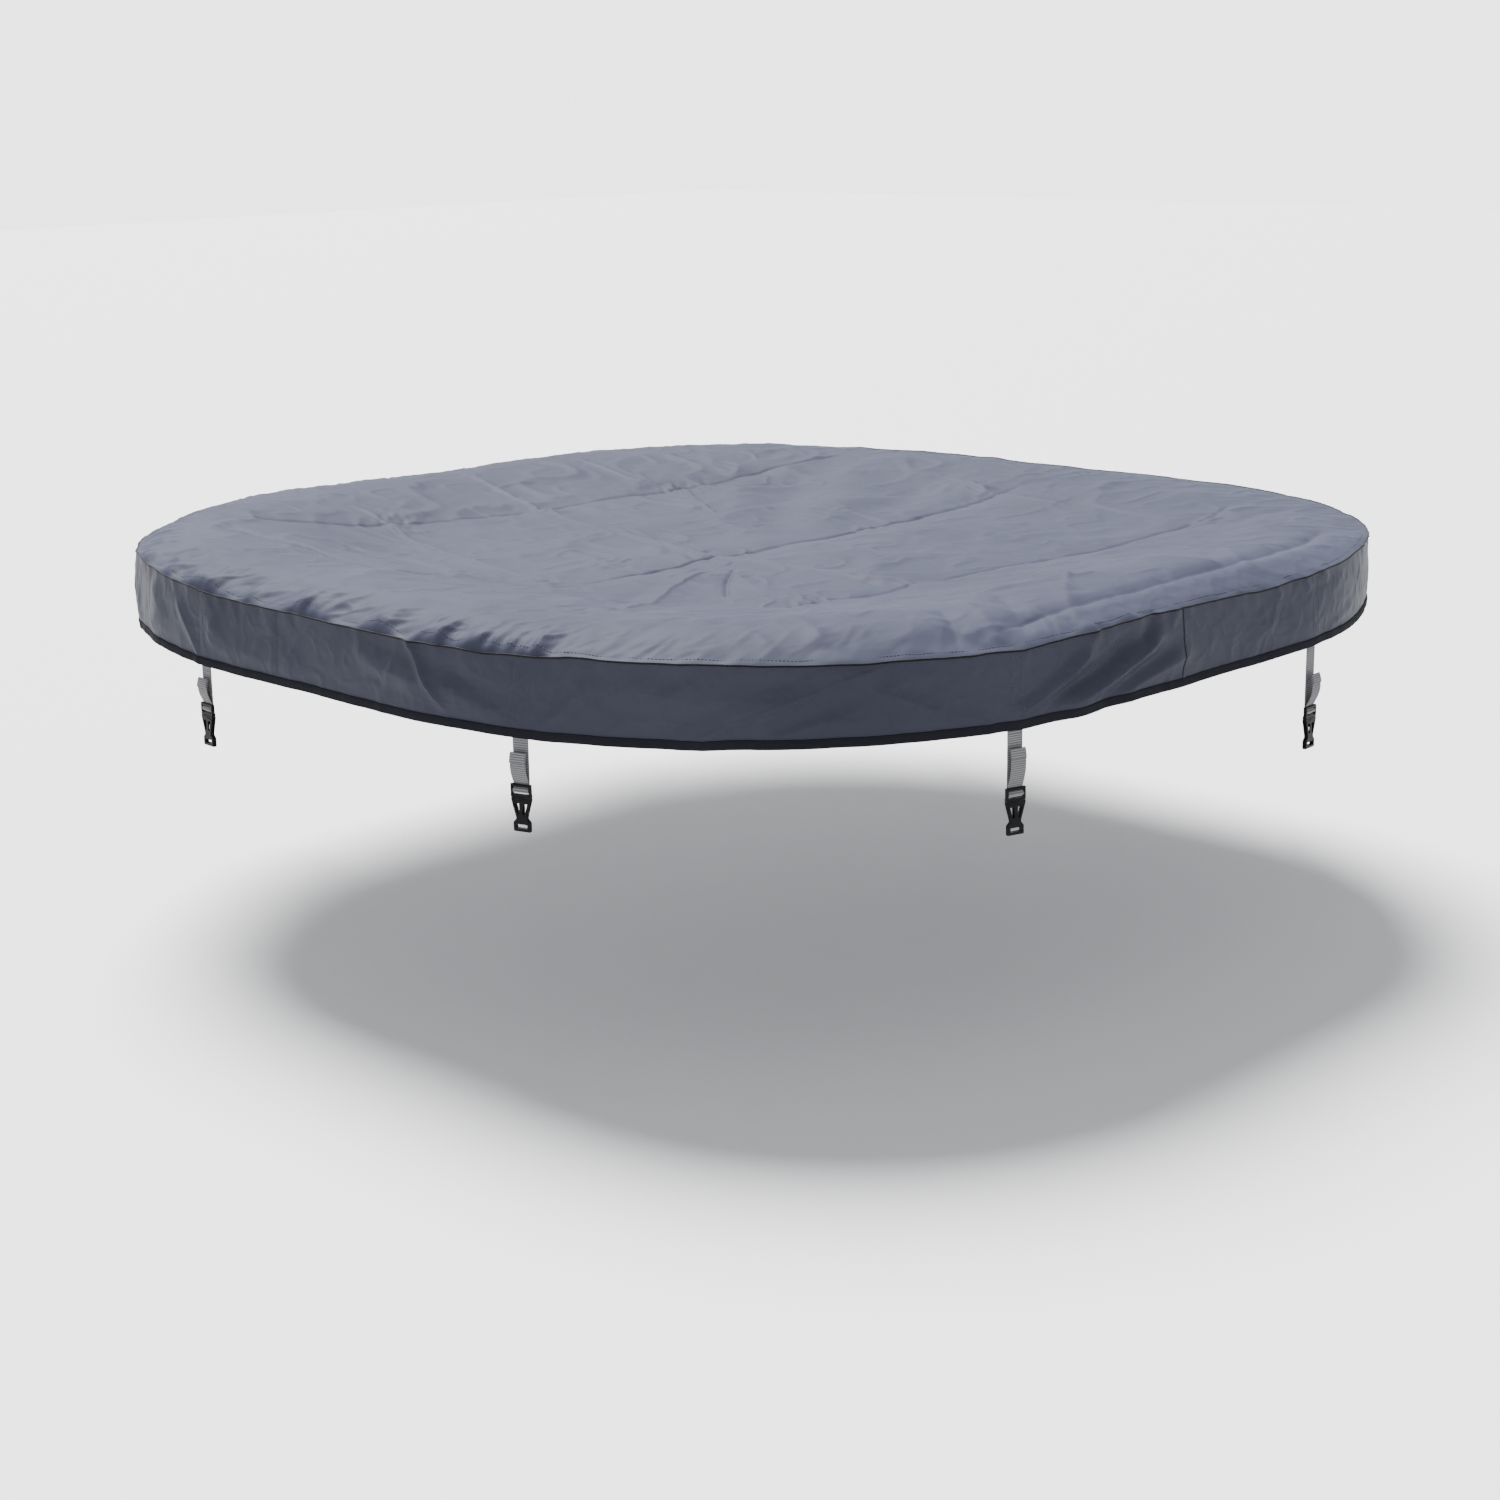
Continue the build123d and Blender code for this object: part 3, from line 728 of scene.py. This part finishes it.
def top_row_places(inset, pitch):
    count = int(PERIMETER / pitch)
    s = np.arange(count) * PERIMETER / count
    x, y, nx, ny = outline(s, inset)
    here = np.stack([x, y, top_height(x, y, s)], 1)
    x2, y2, _, _ = outline(s + 0.001, inset)
    ahead = np.stack([x2, y2, top_height(x2, y2, s + 0.001)], 1) - here
    x3, y3, _, _ = outline(s, inset + 0.001)
    inward = np.stack([x3, y3, top_height(x3, y3, s)], 1) - here
    ahead /= np.linalg.norm(ahead, axis=1)[:, None]
    out = np.cross(ahead, inward)
    out /= np.linalg.norm(out, axis=1)[:, None]
    return [(h + o * 0.0002, a, o) for h, a, o in zip(here, ahead, out)]


def skirt_column_places(s0, pitch, top=0.03, bottom=0.87, lift=0.0):
    places = []
    count = int(SKIRT_DROP * (bottom - top) / pitch)
    t = top + (bottom - top) * np.arange(count) / count
    here = np.concatenate([skirt_points(np.array([s0]), v) for v in t])
    below = np.concatenate([skirt_points(np.array([s0]), v + 0.004) for v in t])
    _, _, nx, ny = outline(np.array([s0]))
    out = np.array([nx[0], ny[0], 0.0])
    for a, b in zip(here, below):
        along = (b - a) / np.linalg.norm(b - a)
        places.append((a + out * (0.0003 + lift), along, out))
    return places


top_places = top_row_places(0.0105, STITCH_PITCH)
top_stitches = build_stitches("top_stitching", top_places, 0.0034, 0.0006, THREAD)
skirt_places = []
for arc in STRAP_ARCS:
    skirt_places += skirt_column_places(arc - 0.0075, 0.0050)
    skirt_places += skirt_column_places(arc + 0.0075, 0.0050)
for arc in PANEL_JOINTS[1:]:
    skirt_places += skirt_column_places(arc + 0.0035, 0.0050, lift=0.0007)
skirt_stitches = build_stitches("skirt_stitching", skirt_places, 0.0028, 0.0005, THREAD)
hem_places = []
count = int(PERIMETER / STITCH_PITCH)
s_row = np.arange(count) * PERIMETER / count
row = []
for shift in (0.0, 0.001):
    x, y, nx, ny = outline(s_row + shift)
    out = skirt_offset(s_row + shift, 0.93) + 0.0021
    row.append(np.stack([x + nx * out, y + ny * out, hem_height(s_row + shift) + 0.0098], 1))
for k in range(count):
    along = (row[1][k] - row[0][k]) / np.linalg.norm(row[1][k] - row[0][k])
    hem_places.append((row[0][k], along, np.array([nx[k], ny[k], 0.0])))
hem_stitches = build_stitches("hem_stitching", hem_places, 0.0036, 0.0006, SEAM_CLOTH)
for stitches in (top_stitches, skirt_stitches, hem_stitches):
    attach(stitches, "cover")


# ---------------------------------------------------------------- straps
def strap_frame(arc, z):
    x, y, nx, ny = outline(np.array([arc]), WEB_INSET)
    origin = np.array([x[0], y[0], z])
    out = np.array([nx[0], ny[0], 0.0])
    tangent = np.array([ny[0], -nx[0], 0.0])
    return origin, tangent, out


def arc_points(cy, cz, radius, start, stop, count):
    turns = [math.radians(start + (stop - start) * i / count) for i in range(count + 1)]
    return [(cy + radius * math.cos(turn), cz + radius * math.sin(turn)) for turn in turns]


def webbing_path(free, tail, bulge):
    """Down to the buckle's bar, round it, and up again as a tail with a folded end."""
    bar_z = -free - BAR_DROP
    points = [(0.0, -0.0052)]
    points += [(0.0, -0.0052 - k * (free + BAR_DROP - 0.0062) / 12) for k in range(1, 13)]
    points += arc_points(0.0025, bar_z, 0.0025, 180, 415, 18)
    points += [(0.00235, bar_z + 0.0039), (0.00162, bar_z + 0.0052), (0.00155, bar_z + 0.007)]
    start = bar_z + 0.0096
    for i in range(25):
        t = i / 24
        points.append((0.00155 + bulge * math.sin(math.pi * min(1.0, t * 0.78)), start + t * tail))
    y_top, z_top = points[-1]
    points += arc_points(y_top + 0.00085, z_top + 0.0003, 0.00085, 150, 0, 5)
    for i in range(1, 8):
        t = 1 - i * 0.0018 / tail
        points.append((0.00335 + bulge * math.sin(math.pi * min(1.0, t * 0.78)), start + t * tail))
    return points


def build_webbing(name, arc, path):
    """Ribbed webbing along a path of (outward, up) points from the hem."""
    origin, tangent, out = strap_frame(arc, HEM_Z)
    path = np.array(path)
    steps = np.hypot(*np.diff(path, axis=0).T)
    length = np.concatenate([[0], np.cumsum(steps)])
    count = max(8, int(length[-1] / 0.0006))
    run = np.linspace(0, length[-1], count)
    py = np.interp(run, length, path[:, 0])
    pz = np.interp(run, length, path[:, 1])
    ty = np.gradient(py)
    tz = np.gradient(pz)
    norm = np.hypot(ty, tz)
    ny = -tz / norm
    nz = ty / norm
    rib = 0.00022 * np.cos(2 * np.pi * run / RIB_PITCH)
    across = [(-1.0, 0.30), (-0.985, 0.85), (-0.93, 1.0), (-0.5, 1.0), (0.0, 1.0), (0.5, 1.0), (0.93, 1.0),
              (0.985, 0.85), (1.0, 0.30)]
    ring = [(u, h) for u, h in across] + [(u, -h) for u, h in across[::-1]]
    points = []
    uvs = []
    for u, h in ring:
        edge_rib = rib * (1 if abs(u) < 0.94 else 0.2)
        half = (WEB_THICK / 2 + edge_rib) * h
        local_y = py + ny * half
        local_z = pz + nz * half
        sideways = u * WEB_WIDTH / 2
        points.append(origin + tangent * sideways + out * local_y[:, None]
                      + np.array([0, 0, 1.0]) * local_z[:, None])
        uvs.append(np.stack([np.full(count, sideways), run], 1))
    rows = len(points)
    points.append(points[0])
    uvs.append(uvs[0])
    faces = grid_faces(rows + 1, count, False)
    faces.append(tuple(i * count for i in range(rows)))
    faces.append(tuple(i * count + count - 1 for i in range(rows))[::-1])
    return make_mesh(name, np.concatenate(points), faces, np.concatenate(uvs), WEBBING)


for number, arc in enumerate(STRAP_ARCS, 1):
    path = webbing_path(FREE_LENGTHS[number - 1], TAIL_LENGTHS[number - 1], TAIL_BULGES[number - 1])
    webbing = build_webbing("webbing_%d" % number, arc, path)
    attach(webbing, "strap_%d" % number)
    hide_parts("strap_web_%d" % number)
    anchor = build_webbing("webbing_anchor_%d" % number, arc, [(0.0, -0.0050), (0.0, 0.04), (0.0, 0.1070)])
    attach(anchor, "cover")
    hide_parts("strap_anchor_%d" % number)

for node_name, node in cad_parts.items():
    if node_name.startswith("buckle") or node_name.startswith("zip_s") or node_name == "zip_pull":
        bevel = node.modifiers.new("edges", "BEVEL")
        bevel.width = 0.0005 if node_name.startswith("buckle") else 0.0002
        bevel.segments = 2
        bevel.limit_method = "ANGLE"

# ---------------------------------------------------------------- camera
camera_data = bpy.data.cameras.new("camera")
camera = bpy.data.objects.new("camera", camera_data)
bpy.context.scene.collection.objects.link(camera)
bpy.context.scene.camera = camera
camera_data.sensor_fit = "HORIZONTAL"
camera_data.sensor_width = 36.0
camera_data.lens = 61.185
camera_data.shift_y = -0.0242
yaw, pitch, roll = 0.77113, -0.24385, -0.01546
forward = Vector((math.cos(pitch) * math.cos(yaw), math.cos(pitch) * math.sin(yaw), math.sin(pitch)))
right = Vector((math.sin(yaw), -math.cos(yaw), 0))
up = right.cross(forward)
right_rolled = math.cos(roll) * right + math.sin(roll) * up
up_rolled = -math.sin(roll) * right + math.cos(roll) * up
rotation = Matrix((right_rolled, up_rolled, -forward)).transposed()
camera.matrix_world = Matrix.Translation((-3.07213, -2.97104, 0.71144)) @ rotation.to_4x4()

# ---------------------------------------------------------------- floor and light
floor_mesh = bpy.data.meshes.new("floor")
floor_corners = [(x * FLOOR_REACH, y * FLOOR_REACH, FLOOR_Z) for x, y in [(-1, -1), (1, -1), (1, 1), (-1, 1)]]
floor_mesh.from_pydata(floor_corners, [], [(0, 1, 2, 3)])
floor = bpy.data.objects.new("floor", floor_mesh)
bpy.context.scene.collection.objects.link(floor)
floor_material, _, _, floor_shader = new_material("floor")
floor_shader.inputs["Base Color"].default_value = (0.45, 0.45, 0.45, 1)
floor_shader.inputs["Roughness"].default_value = 0.9
floor_mesh.materials.append(floor_material)

world = bpy.data.worlds.new("world")
bpy.context.scene.world = world
world.use_nodes = True
sky_nodes = world.node_tree.nodes
sky_links = world.node_tree.links
sky_coords = sky_nodes.new("ShaderNodeTexCoord")
sky_split = sky_nodes.new("ShaderNodeSeparateXYZ")
sky_ramp = sky_nodes.new("ShaderNodeValToRGB")
sky_ramp.color_ramp.elements[0].position = 0.05
sky_ramp.color_ramp.elements[0].color = (1.0, 1.0, 1.0, 1)
sky_ramp.color_ramp.elements[1].position = 0.12
sky_ramp.color_ramp.elements[1].color = (0.26, 0.27, 0.29, 1)
sky_top = sky_ramp.color_ramp.elements.new(0.7)
sky_top.color = (0.36, 0.37, 0.39, 1)
sky_links.new(sky_coords.outputs["Generated"], sky_split.inputs["Vector"])
sky_links.new(sky_split.outputs["Z"], sky_ramp.inputs["Fac"])
sky_links.new(sky_ramp.outputs["Color"], sky_nodes["Background"].inputs["Color"])
sky_nodes["Background"].inputs["Strength"].default_value = 3.2

sun_data = bpy.data.lights.new("key", "SUN")
sun_data.energy = 23.0
sun_data.angle = 0.50
sun_data.color = (1.0, 1.0, 1.0)
sun = bpy.data.objects.new("key", sun_data)
bpy.context.scene.collection.objects.link(sun)
sun.rotation_euler = Vector((-0.40, -0.80, -1.15)).to_track_quat("-Z", "Y").to_euler()
